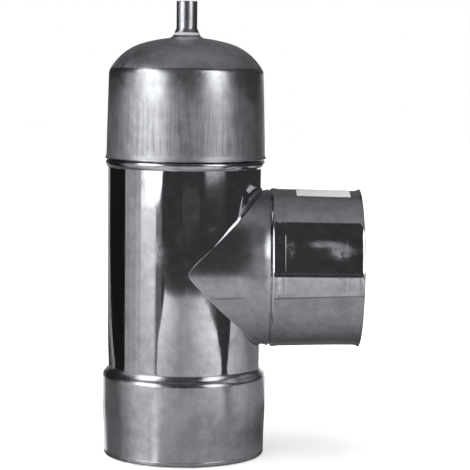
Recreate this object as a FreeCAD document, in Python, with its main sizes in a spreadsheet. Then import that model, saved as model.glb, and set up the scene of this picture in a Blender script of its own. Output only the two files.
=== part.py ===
import FreeCAD, Part
import os
import Sketcher
from FreeCAD import Placement, Rotation, Vector

# Single wall stove pipe tee with a condensate cap, in millimetres.
# The run stands on its socket, centred on Z. The branch leaves it along +X.

doc = FreeCAD.newDocument("StovePipeTee")

# Driving dimensions: name, value, meaning
DIMENSIONS = [
    ("pipeRadius", 60.0, "outer radius of the run"),
    ("wall", 0.5, "sheet thickness of both pipes and the cap"),
    ("mouthLength", 13.0, "straight stretch at the mouth of the run socket"),
    ("socketTaper", 23.0, "stretch over which the run socket widens"),
    ("socketStraight", 24.4, "straight stretch of the run socket under the step"),
    ("socketStep", 3.65, "how far the run socket stands out from the pipe"),
    ("mouthDrop", 0.85, "how far the mouth draws in from the socket"),
    ("stepHeight", 10.2, "height of the step from the socket to the pipe"),
    ("pipeLength", 153.2, "length of the pipe from the step to the stop bead"),
    ("beadOut", 1.8, "how far the stop bead stands out from the pipe"),
    ("beadRise", 4.0, "height of the bead below its largest radius"),
    ("beadFall", 2.4, "height of the bead above its largest radius"),
    ("maleDrop", 0.65, "how far the male end draws in from the pipe"),
    ("maleLength", 48.0, "length of the male end above the bead"),
    ("branchRise", 75.6, "height of the branch axis above the step"),
    ("stubDrop", 0.1, "how much smaller the radius of the branch stub is than the run's"),
    ("stubLength", 64.3, "distance from the run axis to the flared end of the stub"),
    ("flareLength", 5.5, "length over which the end of the stub flares"),
    ("flareOut", 1.1, "how far the end of the stub flares out"),
    ("grooveWidth", 1.0, "width of the groove wall between the flare and the bead"),
    ("grooveDepth", 1.0, "depth of the groove below the flare"),
    ("weldLedge", 1.5, "width of run wall left inside the branch"),
    ("ridgeOut", 2.0, "how far the rounded bead of the branch stands out from the stub"),
    ("ridgeRise", 3.0, "length over which the branch bead rises"),
    ("ridgeFall", 5.5, "length over which the branch bead falls"),
    ("hubOut", 1.4, "how far the branch socket stands out from the stub behind the bead"),
    ("hubLength", 5.0, "straight stretch behind the branch bead"),
    ("taperLength", 38.2, "length of the taper of the branch socket"),
    ("branchFit", 0.45, "radial clearance of a male end in the branch socket"),
    ("landLength", 13.5, "length of the straight land of the branch socket"),
    ("lipOut", 1.4, "how far the lip of the branch stands out from its land"),
    ("lipLength", 4.9, "length of the flared lip of the branch"),
    ("capGap", 0.3, "gap between the stop bead and the cap"),
    ("capLipOut", 2.5, "how far the lip of the cap stands out from the pipe"),
    ("capLipEdge", 0.7, "height of the upright edge of the lip of the cap"),
    ("capLipFlare", 3.8, "height of the flare of the lip of the cap"),
    ("skirtOut", 1.55, "how far the skirt of the cap stands out from the pipe at its lip"),
    ("capFit", 0.39, "radial clearance of the cap on the tip of the male end"),
    ("capHeadroom", 19.3, "height of the cap's shoulder above the male end"),
    ("shoulderLean", 26.7, "lean of the dished end at the shoulder, in degrees from upright"),
    ("knuckleRadius", 42.5, "outer radius of the knuckle of the dished end"),
    ("crownRadius", 120.5, "outer radius of the crown of the dished end"),
    ("neckFlare", 4.7, "how far the neck of the cap spreads at its base"),
    ("neckHeight", 2.4, "height of the neck above the crown at its base"),
    ("drainRadius", 8.0, "outer radius of the drain tube"),
    ("drainWall", 1.0, "wall of the drain tube"),
    ("drainLength", 20.8, "length of the drain tube above its collar"),
    ("drainEdge", 0.35, "rounding of the free end of the drain tube"),
    ("collarOut", 2.3, "how far the collar stands out from the drain tube"),
    ("collarEdge", 1.6, "height of the upright edge of the collar"),
    ("collarFlare", 3.7, "height over which the collar narrows to the tube"),
    ("labelOnTaper", 31.5, "length of the label on the taper of the branch"),
    ("labelOnLand", 9.8, "length of the label on the land of the branch"),
    ("labelGlue", 0.12, "thickness of the glue under the label"),
    ("labelThickness", 0.15, "thickness of the label"),
    ("labelArc", 28.0, "angle that the label covers round the branch, in degrees"),
    ("labelTurn", 6.0, "angle of the label's middle from the top to the front, in degrees"),
]
SIZE_NAMES = {name for name, value, meaning in DIMENSIONS}

sheet = doc.addObject("Spreadsheet::Sheet", "Dims")
for row, (name, value, meaning) in enumerate(DIMENSIONS, start=1):
    sheet.set(f"A{row}", meaning)
    sheet.set(f"B{row}", str(value))
    sheet.setAlias(f"B{row}", name)
doc.recompute()

# Radii and heights that more than one piece uses, as formulas of the sheet's sizes
STEP_BOTTOM = "(mouthLength + socketTaper + socketStraight)"
STEP_TOP = f"({STEP_BOTTOM} + stepHeight)"
BRANCH_HEIGHT = f"({STEP_TOP} + branchRise)"
BEAD_BOTTOM = f"({STEP_TOP} + pipeLength)"
BEAD_TOP = f"({BEAD_BOTTOM} + beadRise + beadFall)"
MALE_RADIUS = "(pipeRadius - maleDrop)"
MALE_TOP = f"({BEAD_TOP} + maleLength)"
STUB_RADIUS = "(pipeRadius - stubDrop)"
HUB_RADIUS = f"({STUB_RADIUS} + hubOut)"
GROOVE_END = "(stubLength + grooveWidth)"
TAPER_START = f"({GROOVE_END} + ridgeRise + ridgeFall + hubLength)"
LAND_START = f"({TAPER_START} + taperLength)"
LAND_RADIUS = f"({MALE_RADIUS} + branchFit + wall)"
COLLAR_RADIUS = "(drainRadius + collarOut)"

# The dished end: a knuckle that leans at the shoulder and runs into the crown
CAP_BOTTOM = f"({BEAD_TOP} + capGap)"
SKIRT_START = f"({CAP_BOTTOM} + capLipEdge + capLipFlare)"
SKIRT_RADIUS = "(pipeRadius + skirtOut)"
SEAT_RADIUS = f"({MALE_RADIUS} + capFit + wall)"
SKIRT_SLOPE = f"(({SKIRT_RADIUS} - {SEAT_RADIUS}) / ({MALE_TOP} - {SKIRT_START}))"
SHOULDER_HEIGHT = f"({MALE_TOP} + capHeadroom)"
SHOULDER_RADIUS = f"({SEAT_RADIUS} - {SKIRT_SLOPE} * capHeadroom)"
KNUCKLE_ACROSS = f"({SHOULDER_RADIUS} - knuckleRadius * cos(shoulderLean * 1 deg))"
KNUCKLE_UP = f"({SHOULDER_HEIGHT} - knuckleRadius * sin(shoulderLean * 1 deg))"
CENTRE_DROP = f"sqrt((crownRadius - knuckleRadius) ^ 2 - {KNUCKLE_ACROSS} ^ 2)"
CROWN_CENTRE = f"({KNUCKLE_UP} - {CENTRE_DROP})"
NECK_BASE = f"({COLLAR_RADIUS} + neckFlare)"
NECK_TOP = f"({CROWN_CENTRE} + sqrt(crownRadius ^ 2 - {NECK_BASE} ^ 2) + neckHeight)"


def on_sheet(formula):
    """Put the sheet's name before each size that a formula names."""
    words = formula.replace("(", "( ").replace(")", " )").split()
    return " ".join("Dims." + word if word in SIZE_NAMES else word for word in words)


def size_of(formula):
    """Value of a formula."""
    return float(sheet.evalExpression(on_sheet(formula)))


def new_body(name):
    """A body that becomes one sub-part, named after its file."""
    body = doc.addObject("PartDesign::Body", name)
    body.Label = name
    return body


def new_sketch(body, plane, name):
    """A sketch on one of the body's own origin planes."""
    sketch = body.newObject("Sketcher::SketchObject", name)
    origin_plane = next(part for part in body.Origin.OriginFeatures if part.Role == plane)
    sketch.AttachmentSupport = [(origin_plane, "")]
    sketch.MapMode = "FlatFace"
    return sketch


def bind(sketch, constraint, name, formula):
    """Add a constraint and tie its value to a formula."""
    row = sketch.addConstraint(constraint)
    sketch.renameConstraint(row, name)
    sketch.setExpression(f"Constraints.{name}", on_sheet(formula))


def place_point(sketch, edge, end, formulas, name):
    """Tie a point's distances from the sketch axes to two formulas."""
    ways = (("DistanceX", -2, "across"), ("DistanceY", -1, "up"))
    for (kind, axis, way), formula in zip(ways, formulas):
        if formula == "0":
            sketch.addConstraint(Sketcher.Constraint("PointOnObject", edge, end, axis))
        else:
            constraint = Sketcher.Constraint(kind, -1, 1, edge, end, size_of(formula))
            bind(sketch, constraint, f"{way}_{name}", formula)


def arc_centre(start, end, rule):
    """Centre of an arc: level or plumb with one end, on the upright axis, or at a given height."""
    if rule == "on axis":
        return Vector(0, (start.y + end.y) / 2 + (start.x**2 - end.x**2) / (2 * (start.y - end.y)), 0)
    which, shared = rule.split()
    tangent, other = (start, end) if which == "start" else (end, start)
    across = other.x - tangent.x
    rise = other.y - tangent.y
    if shared == "level":
        return Vector(tangent.x + (across**2 + rise**2) / (2 * across), tangent.y, 0)
    return Vector(tangent.x, tangent.y + (across**2 + rise**2) / (2 * rise), 0)


def add_edge(sketch, start, end, rule, number):
    """Draw a line or an arc and return its index and the numbers of its first and last points."""
    if rule == "line":
        return sketch.addGeometry(Part.LineSegment(start, end), False), 1, 2
    if isinstance(rule, tuple):
        centre = Vector(size_of(rule[0]), size_of(rule[1]), 0)
    else:
        centre = arc_centre(start, end, rule)
    circle = Part.Circle(centre, Vector(0, 0, 1), (start - centre).Length)
    turns = [circle.parameter(start), circle.parameter(end)]
    first, last = 1, 2
    if (start - centre).cross(end - centre).z < 0:
        turns.reverse()
        first, last = 2, 1
    index = sketch.addGeometry(Part.ArcOfCircle(circle, *turns), False)
    if isinstance(rule, tuple):
        constraint = Sketcher.Constraint("DistanceY", -1, 1, index, 3, centre.y)
        bind(sketch, constraint, f"centre_{number}", rule[1])
    elif rule == "on axis":
        sketch.addConstraint(Sketcher.Constraint("PointOnObject", index, 3, -2))
    else:
        which, shared = rule.split()
        kind = "Horizontal" if shared == "level" else "Vertical"
        end_point = first if which == "start" else last
        sketch.addConstraint(Sketcher.Constraint(kind, index, 3, index, end_point))
    return index, first, last


def draw_loop(sketch, corners):
    """Draw a closed loop from corners (across formula, up formula, rule of the edge that follows)."""
    points = [Vector(size_of(across), size_of(up), 0) for across, up, rule in corners]
    edges = []
    for number, (across, up, rule) in enumerate(corners):
        end = points[(number + 1) % len(points)]
        edges.append(add_edge(sketch, points[number], end, rule, number))
    for number, (index, first, last) in enumerate(edges):
        next_index, next_first, next_last = edges[(number + 1) % len(edges)]
        sketch.addConstraint(Sketcher.Constraint("Coincident", index, last, next_index, next_first))
        place_point(sketch, index, first, corners[number][:2], number)


def turned_round(rule):
    """The rule of an edge that is drawn the other way."""
    if isinstance(rule, tuple) or rule in ("line", "on axis"):
        return rule
    which, shared = rule.split()
    return f"{'end' if which == 'start' else 'start'} {shared}"


def closed_section(face, back):
    """Join the two faces of a sheet, drawn the same way, into one loop."""
    forth = face[:-1] + [(face[-1][0], face[-1][1], "line")]
    rules = ["line"] + [turned_round(rule) for across, up, rule in back[:-1]]
    returning = [(across, up, rule) for (across, up, unused), rule in zip(back, rules)]
    return forth + returning[::-1]


def moved(face, across_shift, up_shift):
    """A copy of a face of a sheet, moved across and up."""
    return [(across + across_shift, up + up_shift, rule) for across, up, rule in face]


def revolve(body, sketch, axis, name):
    """Turn a sketch right round one of its own axes."""
    turned = body.newObject("PartDesign::Revolution", name)
    turned.Profile = sketch
    turned.ReferenceAxis = (sketch, [axis])
    turned.Angle = 360.0
    doc.recompute()
    return turned


def cut_round(body, plane, name, radius, height, both_ways):
    """Cut a round hole along a plane's normal, forwards or both ways, and see that it cuts."""
    volume_before = body.Shape.Volume
    sketch = new_sketch(body, plane, name + "Circle")
    centre = Vector(0, size_of(height), 0)
    circle = sketch.addGeometry(Part.Circle(centre, Vector(0, 0, 1), size_of(radius)), False)
    place_point(sketch, circle, 3, ("0", height), "centre")
    bind(sketch, Sketcher.Constraint("Radius", circle, size_of(radius)), "hole_radius", radius)
    pocket = body.newObject("PartDesign::Pocket", name)
    pocket.Profile = sketch
    pocket.Type = "ThroughAll"
    pocket.SideType = "Symmetric" if both_ways else "One side"
    pocket.Reversed = not both_ways
    doc.recompute()
    if body.Shape.Volume > volume_before - 1:
        raise RuntimeError(f"{name} cuts nothing")
    return pocket


# Run: socket, step, pipe, stop bead and male end in one sheet, with the opening for the branch
def make_run_pipe():
    body = new_body("run_pipe")
    section = new_sketch(body, "XZ_Plane", "RunSection")
    mouth = "pipeRadius + socketStep - mouthDrop"
    socket = "pipeRadius + socketStep"
    outside = [
        (mouth, "0", "line"),
        (mouth, "mouthLength", "line"),
        (socket, "mouthLength + socketTaper", "line"),
        (socket, STEP_BOTTOM, "start level"),
        ("pipeRadius + socketStep / 2", f"{STEP_BOTTOM} + stepHeight / 2", "end level"),
        ("pipeRadius", STEP_TOP, "line"),
        ("pipeRadius", BEAD_BOTTOM, "end level"),
        ("pipeRadius + beadOut", f"{BEAD_BOTTOM} + beadRise", "start level"),
        (MALE_RADIUS, BEAD_TOP, "line"),
        (MALE_RADIUS, MALE_TOP, "line"),
    ]
    draw_loop(section, closed_section(outside, moved(outside, " - wall", "")))
    revolve(body, section, "V_Axis", "RunShell")
    opening = f"{STUB_RADIUS} - wall - weldLedge"
    cut_round(body, "YZ_Plane", "BranchOpening", opening, BRANCH_HEIGHT, False)
    return body


# Branch: a stub fitted to the run's wall, then a bead, a tapered socket and a flared lip
def make_branch_pipe():
    body = new_body("branch_pipe")
    section = new_sketch(body, "XZ_Plane", "BranchSection")
    outside = [
        ("0", STUB_RADIUS, "line"),
        ("stubLength - flareLength", STUB_RADIUS, "start plumb"),
        ("stubLength", f"{STUB_RADIUS} + flareOut", "line"),
        (GROOVE_END, f"{STUB_RADIUS} + flareOut - grooveDepth", "end plumb"),
        (f"{GROOVE_END} + ridgeRise", f"{STUB_RADIUS} + ridgeOut", "start plumb"),
        (f"{GROOVE_END} + ridgeRise + ridgeFall", HUB_RADIUS, "line"),
        (TAPER_START, HUB_RADIUS, "line"),
        (LAND_START, LAND_RADIUS, "line"),
        (f"{LAND_START} + landLength", LAND_RADIUS, "start plumb"),
        (f"{LAND_START} + landLength + lipLength", f"{LAND_RADIUS} + lipOut", "line"),
    ]
    draw_loop(section, closed_section(outside, moved(outside, "", " - wall")))
    revolve(body, section, "H_Axis", "BranchShell")
    cut_round(body, "XY_Plane", "SaddleCut", "pipeRadius", "0", True)
    body.setExpression("Placement.Base.z", on_sheet(BRANCH_HEIGHT))
    return body


# Paper label on top of the branch socket, bent to its taper and its land
def make_label():
    body = new_body("label")
    section = new_sketch(body, "XZ_Plane", "LabelSection")
    rear_radius = f"{LAND_RADIUS} + ({HUB_RADIUS} - {LAND_RADIUS}) * labelOnTaper / taperLength"
    seat = [
        (f"{LAND_START} - labelOnTaper", rear_radius, "line"),
        (LAND_START, LAND_RADIUS, "line"),
        (f"{LAND_START} + labelOnLand", LAND_RADIUS, "line"),
    ]
    underside = moved(seat, "", " + labelGlue")
    draw_loop(section, closed_section(underside, moved(underside, "", " + labelThickness")))
    bend = revolve(body, section, "H_Axis", "LabelBend")
    bend.Midplane = True
    bend.setExpression("Angle", on_sheet("labelArc"))
    body.Placement = Placement(Vector(0, 0, 0), Rotation(Vector(1, 0, 0), size_of("labelTurn")))
    body.setExpression("Placement.Base.z", on_sheet(BRANCH_HEIGHT))
    body.setExpression("Placement.Rotation.Angle", on_sheet("labelTurn"))
    return body


def dished_face(inset):
    """Shoulder, knuckle, crown and neck of the cap, at a depth inside its outer face."""
    lean_across = f"{SHOULDER_RADIUS} - {inset} * cos(shoulderLean * 1 deg)"
    lean_up = f"{SHOULDER_HEIGHT} - {inset} * sin(shoulderLean * 1 deg)"
    reach = f"(crownRadius - {inset}) / (crownRadius - knuckleRadius)"
    neck_foot = f"{CROWN_CENTRE} + sqrt((crownRadius - {inset}) ^ 2 - {NECK_BASE} ^ 2)"
    return [
        (lean_across, lean_up, (KNUCKLE_ACROSS, KNUCKLE_UP)),
        (f"{KNUCKLE_ACROSS} * {reach}", f"{CROWN_CENTRE} + {CENTRE_DROP} * {reach}", "on axis"),
        (NECK_BASE, neck_foot, "start plumb"),
        (f"{COLLAR_RADIUS} - {inset}", NECK_TOP, "line"),
    ]


# Cap: flared lip, tapered skirt and dished end with a drawn neck, pressed from one sheet
def make_drain_cap():
    body = new_body("drain_cap")
    section = new_sketch(body, "XZ_Plane", "CapSection")
    lip = "pipeRadius + capLipOut"
    skirt_outside = [
        (lip, CAP_BOTTOM, "line"),
        (lip, f"{CAP_BOTTOM} + capLipEdge", "end level"),
        (SKIRT_RADIUS, SKIRT_START, "line"),
    ]
    outside = skirt_outside + dished_face("0")
    inside = moved(skirt_outside, " - wall", "") + dished_face("wall")
    draw_loop(section, closed_section(outside, inside))
    revolve(body, section, "V_Axis", "CapShell")
    return body


# Drain: a straight tube that spreads to a collar, seated on the neck of the cap
def make_drain_spigot():
    body = new_body("drain_spigot")
    section = new_sketch(body, "XZ_Plane", "DrainSection")
    outside = [
        (COLLAR_RADIUS, "0", "line"),
        (COLLAR_RADIUS, "collarEdge", "line"),
        ("drainRadius", "collarEdge + collarFlare", "line"),
        ("drainRadius", "collarEdge + collarFlare + drainLength", "line"),
    ]
    draw_loop(section, closed_section(outside, moved(outside, " - drainWall", "")))
    tube = revolve(body, section, "V_Axis", "DrainTube")
    top = tube.Shape.BoundBox.ZMax
    rims = [
        f"Edge{number}"
        for number, edge in enumerate(tube.Shape.Edges, start=1)
        if edge.BoundBox.ZMin > top - 0.01
    ]
    rounding = body.newObject("PartDesign::Fillet", "DrainRims")
    rounding.Base = (tube, rims)
    rounding.setExpression("Radius", on_sheet("drainEdge"))
    body.setExpression("Placement.Base.z", on_sheet(NECK_TOP))
    return body


bodies = [make_run_pipe(), make_branch_pipe(), make_label(), make_drain_cap(), make_drain_spigot()]
doc.recompute()

for item in doc.Objects:
    if "Invalid" in item.State or "Error" in item.State:
        raise RuntimeError(f"{item.Name} failed: {item.State}")
for body in bodies:
    if body.Shape.isNull() or not body.Shape.isValid() or len(body.Shape.Solids) != 1:
        raise RuntimeError(f"{body.Label} isn't one valid solid")

os.makedirs("parts", exist_ok=True)
for body in bodies:
    body.Shape.exportStep(f"parts/{body.Label}.step")
    box = body.Shape.BoundBox
    low = ", ".join(f"{edge:.2f}" for edge in (box.XMin, box.YMin, box.ZMin))
    high = ", ".join(f"{edge:.2f}" for edge in (box.XMax, box.YMax, box.ZMax))
    print(f"{body.Label}: volume {body.Shape.Volume:.1f}, from {low} to {high}")
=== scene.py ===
import math
import bpy
import numpy as np
from mathutils import Matrix, Vector


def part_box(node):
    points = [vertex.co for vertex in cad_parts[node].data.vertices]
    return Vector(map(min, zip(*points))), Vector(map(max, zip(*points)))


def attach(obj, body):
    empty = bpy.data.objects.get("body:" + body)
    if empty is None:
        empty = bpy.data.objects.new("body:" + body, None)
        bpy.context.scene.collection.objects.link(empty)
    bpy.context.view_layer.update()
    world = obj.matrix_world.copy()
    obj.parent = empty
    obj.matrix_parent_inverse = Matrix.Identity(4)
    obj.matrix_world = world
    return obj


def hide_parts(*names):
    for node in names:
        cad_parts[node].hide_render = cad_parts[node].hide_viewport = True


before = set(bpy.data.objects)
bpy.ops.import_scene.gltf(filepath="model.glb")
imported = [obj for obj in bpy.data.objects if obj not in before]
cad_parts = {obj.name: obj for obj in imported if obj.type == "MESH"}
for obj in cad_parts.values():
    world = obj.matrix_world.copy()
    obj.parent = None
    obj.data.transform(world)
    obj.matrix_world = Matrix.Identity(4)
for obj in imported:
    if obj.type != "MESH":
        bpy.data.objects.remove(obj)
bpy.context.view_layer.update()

# Stove pipe tee with a condensate cap, in bare stainless sheet.
# Sizes in the dictionaries of the pieces are in millimetres and degrees, and meshes are written in metres.

mm = 0.001
columns = 240       # steps round each turned surface
sharpAngle = 35     # degrees between two faces from which their edge stays sharp

branchLow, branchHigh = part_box("branch_pipe")
branchAxis = (branchLow.z + branchHigh.z) / 2 / mm       # height of the branch axis
drainLow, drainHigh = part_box("drain_spigot")
print("Frame loaded, branch axis at", round(branchAxis, 2), "mm")


# Outlines in a plane: rows of (distance from the axis, distance along it)

def straight(start, end, count):
    steps = np.linspace(0, 1, count)[:, None]
    return np.array(start) + steps * (np.array(end) - np.array(start))


# Part of a circle: the angle runs evenly from the start to the end about the centre
def arc(start, end, centre, count):
    first = np.array(start) - centre
    last = np.array(end) - centre
    fromTurn = np.arctan2(first[1], first[0])
    sweep = (np.arctan2(last[1], last[0]) - fromTurn + np.pi) % (2 * np.pi) - np.pi
    turns = fromTurn + np.linspace(0, 1, count) * sweep
    return np.array(centre) + np.hypot(*first) * np.column_stack((np.cos(turns), np.sin(turns)))


# An arc that leaves one end along the axis: its centre is level with that end
def levelArc(start, end, count, upright="start"):
    tangent, other = (start, end) if upright == "start" else (end, start)
    across = other[0] - tangent[0]
    rise = other[1] - tangent[1]
    centre = (tangent[0] + (across ** 2 + rise ** 2) / (2 * across), tangent[1])
    return arc(start, end, centre, count)


# An arc that leaves its start square to the axis: its centre is straight over or under the start
def plumbArc(start, end, count):
    across = end[0] - start[0]
    rise = end[1] - start[1]
    centre = (start[0], start[1] + (across ** 2 + rise ** 2) / (2 * rise))
    return arc(start, end, centre, count)


# A fine raised line across an outline: half a wave of a raised cosine each side of its middle
def creased(middle, halfWidth, height):
    steps = np.linspace(-1, 1, 9)
    raised = height * (1 + np.cos(np.pi * steps)) / 2
    return np.column_stack((middle[0] + raised, middle[1] + halfWidth * steps))


# A fall from one level to another: half a wave of a cosine
def eased(start, end, count):
    steps = np.linspace(0, 1, count)
    across = end[0] + (start[0] - end[0]) * (1 + np.cos(np.pi * steps)) / 2
    return np.column_stack((across, start[1] + (end[1] - start[1]) * steps))


# A soft corner: the start, corner and end points weighted by (1 - t) squared, twice t times (1 - t),
# and t squared
def softCorner(start, corner, end, count):
    steps = np.linspace(0, 1, count)[:, None]
    return ((1 - steps) ** 2 * np.array(start) + 2 * steps * (1 - steps) * np.array(corner)
            + steps ** 2 * np.array(end))


# Outline pieces one after another, with the shared points once
def joined(*stretches):
    return np.vstack([stretches[0]] + [stretch[1:] for stretch in stretches[1:]])


# Closed section of a bent sheet: the face, a half circle over its end, the face moved inwards by
# the wall along its normal, and a half circle under its start
def sheetSection(face, wall, thin=1):
    along = np.gradient(face, axis=0)
    along /= np.linalg.norm(along, axis=1)[:, None]
    outward = np.column_stack((along[:, 1], -along[:, 0]))
    back = (face - wall * outward)[::-1][::thin]
    turns = np.linspace(0, np.pi, 6)[1:-1, None]
    half = wall / 2
    endRound = face[-1] - half * outward[-1] + half * (
        np.cos(turns) * outward[-1] + np.sin(turns) * along[-1])
    startRound = face[0] - half * outward[0] - half * (
        np.cos(turns) * outward[0] + np.sin(turns) * along[0])
    return np.vstack((face, endRound, back, startRound))


# Steps round a circle, closer together beside a seam
def turnsRound(seamTurn, seamSpread):
    even = np.linspace(0, 2 * np.pi, columns, endpoint=False)
    close = seamTurn + np.radians(seamSpread) * np.linspace(-1, 1, 13)
    clear = even[np.abs(even - seamTurn) > np.radians(seamSpread) * 1.2]
    return np.sort(np.concatenate((clear, close)))


# How proud a weld seam stands at an angle from its middle: a low bell, one seam width across
def seamBell(turns, seamTurn, seamHeight, seamSpread):
    away = (turns - seamTurn) / np.radians(seamSpread)
    return seamHeight * np.exp(-6 * away ** 2)


# A grid of points becomes a mesh with faces between neighbours, or right round both ways if closed
def gridMesh(name, points, closed=False):
    rows, across = points.shape[:2]
    ends = 0 if closed else 1
    row, column = np.meshgrid(np.arange(rows - ends), np.arange(across - ends), indexing="ij")
    nextRow = (row + 1) % rows
    nextColumn = (column + 1) % across
    corners = np.stack((
        row * across + column, row * across + nextColumn,
        nextRow * across + nextColumn, nextRow * across + column,
    ), axis=-1).reshape(-1, 4)
    mesh = bpy.data.meshes.new(name)
    mesh.vertices.add(rows * across)
    mesh.vertices.foreach_set("co", (points * mm).ravel())
    mesh.loops.add(corners.size)
    mesh.loops.foreach_set("vertex_index", corners.ravel())
    mesh.polygons.add(len(corners))
    mesh.polygons.foreach_set("loop_start", np.arange(0, corners.size, 4))
    mesh.update(calc_edges=True)
    mesh.validate()
    return mesh


def placeObject(name, data):
    placed = bpy.data.objects.new(name, data)
    bpy.context.scene.collection.objects.link(placed)
    return placed


# Makes a piece of a grid of points, merges doubled points, gives it its wall and shades it smooth
def finishPiece(name, points, closed, body, nodes, material, wall=0.0):
    mesh = gridMesh(name, points, closed)
    piece = placeObject(name, mesh)
    weld = piece.modifiers.new("weld", "WELD")
    weld.merge_threshold = 1e-6
    if wall:
        solid = piece.modifiers.new("wall", "SOLIDIFY")
        solid.thickness = wall * mm
        solid.offset = -1
        solid.use_even_offset = True
    shaped = bpy.data.meshes.new_from_object(piece.evaluated_get(bpy.context.evaluated_depsgraph_get()))
    piece.modifiers.clear()
    piece.data = shaped
    bpy.data.meshes.remove(mesh)
    shaped.name = name
    shaped.shade_smooth()
    shaped.set_sharp_from_angle(angle=math.radians(sharpAngle))
    shaped.materials.clear()
    shaped.materials.append(material)
    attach(piece, body)
    if nodes:
        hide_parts(*nodes)


# Finishes

# A node group whose first input is a place. The kind of each other input follows from its value.
def newGroup(name, values, outputs):
    group = bpy.data.node_groups.new(name, "ShaderNodeTree")
    group.interface.new_socket(name="Vector", in_out="INPUT", socket_type="NodeSocketVector")
    for label, value in values.items():
        kind = "NodeSocketVector" if isinstance(value, tuple) else "NodeSocketFloat"
        group.interface.new_socket(name=label, in_out="INPUT", socket_type=kind).default_value = value
    for label in outputs:
        group.interface.new_socket(name=label, in_out="OUTPUT", socket_type="NodeSocketFloat")
    return group, group.nodes.new("NodeGroupInput").outputs, group.nodes.new("NodeGroupOutput").inputs


# Adds a node, sets its fields, and fills its sockets from values or other sockets
def addNode(tree, kind, sockets, **fields):
    node = tree.nodes.new(kind)
    for field, value in fields.items():
        setattr(node, field, value)
    for key, value in sockets.items():
        if isinstance(value, bpy.types.NodeSocket):
            tree.links.new(value, node.inputs[key])
        else:
            node.inputs[key].default_value = value
    return node


def groupNode(tree, group, sockets):
    return addNode(tree, "ShaderNodeGroup", sockets, node_tree=group).outputs


def mathNode(tree, operation, first, second=0.0, third=0.0):
    return addNode(tree, "ShaderNodeMath", {0: first, 1: second, 2: third}, operation=operation).outputs[0]


def times(tree, first, second):
    return mathNode(tree, "MULTIPLY", first, second)


def minus(tree, first, second):
    return mathNode(tree, "SUBTRACT", first, second)


# The first value times the second, plus the third
def timesPlus(tree, first, second, third):
    return mathNode(tree, "MULTIPLY_ADD", first, second, third)


def larger(tree, first, second):
    return mathNode(tree, "MAXIMUM", first, second)


def vectorNode(tree, operation, first, second=(0.0, 0.0, 0.0)):
    node = addNode(tree, "ShaderNodeVectorMath", {0: first, 1: second}, operation=operation)
    return node.outputs["Value" if operation == "LENGTH" else "Vector"]


def noiseNode(tree, place, scale, detail=2.0, roughness=0.5, distortion=0.0):
    return addNode(tree, "ShaderNodeTexNoise", {
        "Vector": place, "Scale": scale, "Detail": detail, "Roughness": roughness, "Distortion": distortion,
    }).outputs[0]


def colourMix(tree, share, first, second):
    return addNode(tree, "ShaderNodeMix", {0: share, 6: first, 7: second}, data_type="RGBA").outputs[2]


def bumpNode(tree, height, distance, strength=1.0, below=None, invert=False):
    sockets = {"Height": height, "Strength": strength, "Distance": distance}
    if below is not None:
        sockets["Normal"] = below
    return addNode(tree, "ShaderNodeBump", sockets, invert=invert).outputs[0]


# A value between two limits, eased, as 0 to 1
def easedMask(tree, value, low, high):
    sockets = {"Value": value, "From Min": low, "From Max": high}
    return addNode(tree, "ShaderNodeMapRange", sockets, interpolation_type="SMOOTHSTEP").outputs[0]


def fallingMask(tree, value, low, high):
    return minus(tree, 1.0, easedMask(tree, value, low, high))


# A material, its nodes and its output's first socket
def newMaterial(name):
    material = bpy.data.materials.new(name)
    material.use_nodes = True
    tree = material.node_tree
    tree.nodes.clear()
    return material, tree, tree.nodes.new("ShaderNodeOutputMaterial").inputs[0]


def objectPlace(tree):
    return tree.nodes.new("ShaderNodeTexCoord").outputs["Object"]


# Film left by hands and wiping: soft patches with a finer texture in them. Smudge is their thick
# middle, and Tone a faint mottling of the whole sheet.
def makeFilmGroup():
    group, inward, outward = newGroup(
        "handFilm", {"Patch Scale": 18.0, "Cover": 0.5}, ("Mask", "Smudge", "Tone"))
    place, scale = inward["Vector"], inward["Patch Scale"]
    broad = noiseNode(group, place, scale, 3.0, 0.55, 0.5)
    fine = noiseNode(group, place, times(group, scale, 5.0), 5.0, 0.6)
    threshold = minus(group, 0.64, times(group, inward["Cover"], 0.28))
    texture = easedMask(group, fine, 0.28, 0.66)
    patch = easedMask(group, broad, threshold, mathNode(group, "ADD", threshold, 0.16))
    middle = easedMask(group, broad, mathNode(group, "ADD", threshold, 0.06),
                       mathNode(group, "ADD", threshold, 0.18))
    both = timesPlus(group, broad, 0.4, times(group, fine, 0.6))
    group.links.new(times(group, patch, texture), outward["Mask"])
    group.links.new(times(group, middle, texture), outward["Smudge"])
    group.links.new(easedMask(group, both, 0.40, 0.60), outward["Tone"])
    return group


# A wiped patch at a given place: the distance from it, over its half sizes, falls off to nothing at 1
def makeWipedGroup():
    group, inward, outward = newGroup("wipedPatch", {
        "Middle": (0.0, 0.0, 0.0), "Half Size": (0.01, 0.01, 0.01), "Stretch": (1.0, 1.0, 1.0)}, ("Mask",))
    away = vectorNode(group, "SUBTRACT", inward["Vector"], inward["Middle"])
    reach = vectorNode(group, "LENGTH", vectorNode(group, "DIVIDE", away, inward["Half Size"]))
    flat = vectorNode(group, "MULTIPLY", inward["Vector"], inward["Stretch"])
    ragged = noiseNode(group, flat, 340.0, 5.0, 0.68)
    uneven = timesPlus(group, ragged, 0.6, minus(group, reach, 0.3))
    softer = mathNode(group, "POWER", fallingMask(group, uneven, 0.1, 1.0), 2.4)
    texture = timesPlus(group, easedMask(group, ragged, 0.34, 0.70), 0.72, 0.28)
    group.links.new(times(group, softer, texture), outward["Mask"])
    return group


# Streaks that run along one axis: noise squeezed flat along it
def makeStreakGroup():
    group, inward, outward = newGroup(
        "drawStreaks", {"Stretch": (1.0, 1.0, 0.03), "Scale": 240.0}, ("Height",))
    flat = vectorNode(group, "MULTIPLY", inward["Vector"], inward["Stretch"])
    group.links.new(noiseNode(group, flat, inward["Scale"], 3.0, 0.6, 0.45), outward["Height"])
    return group


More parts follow.
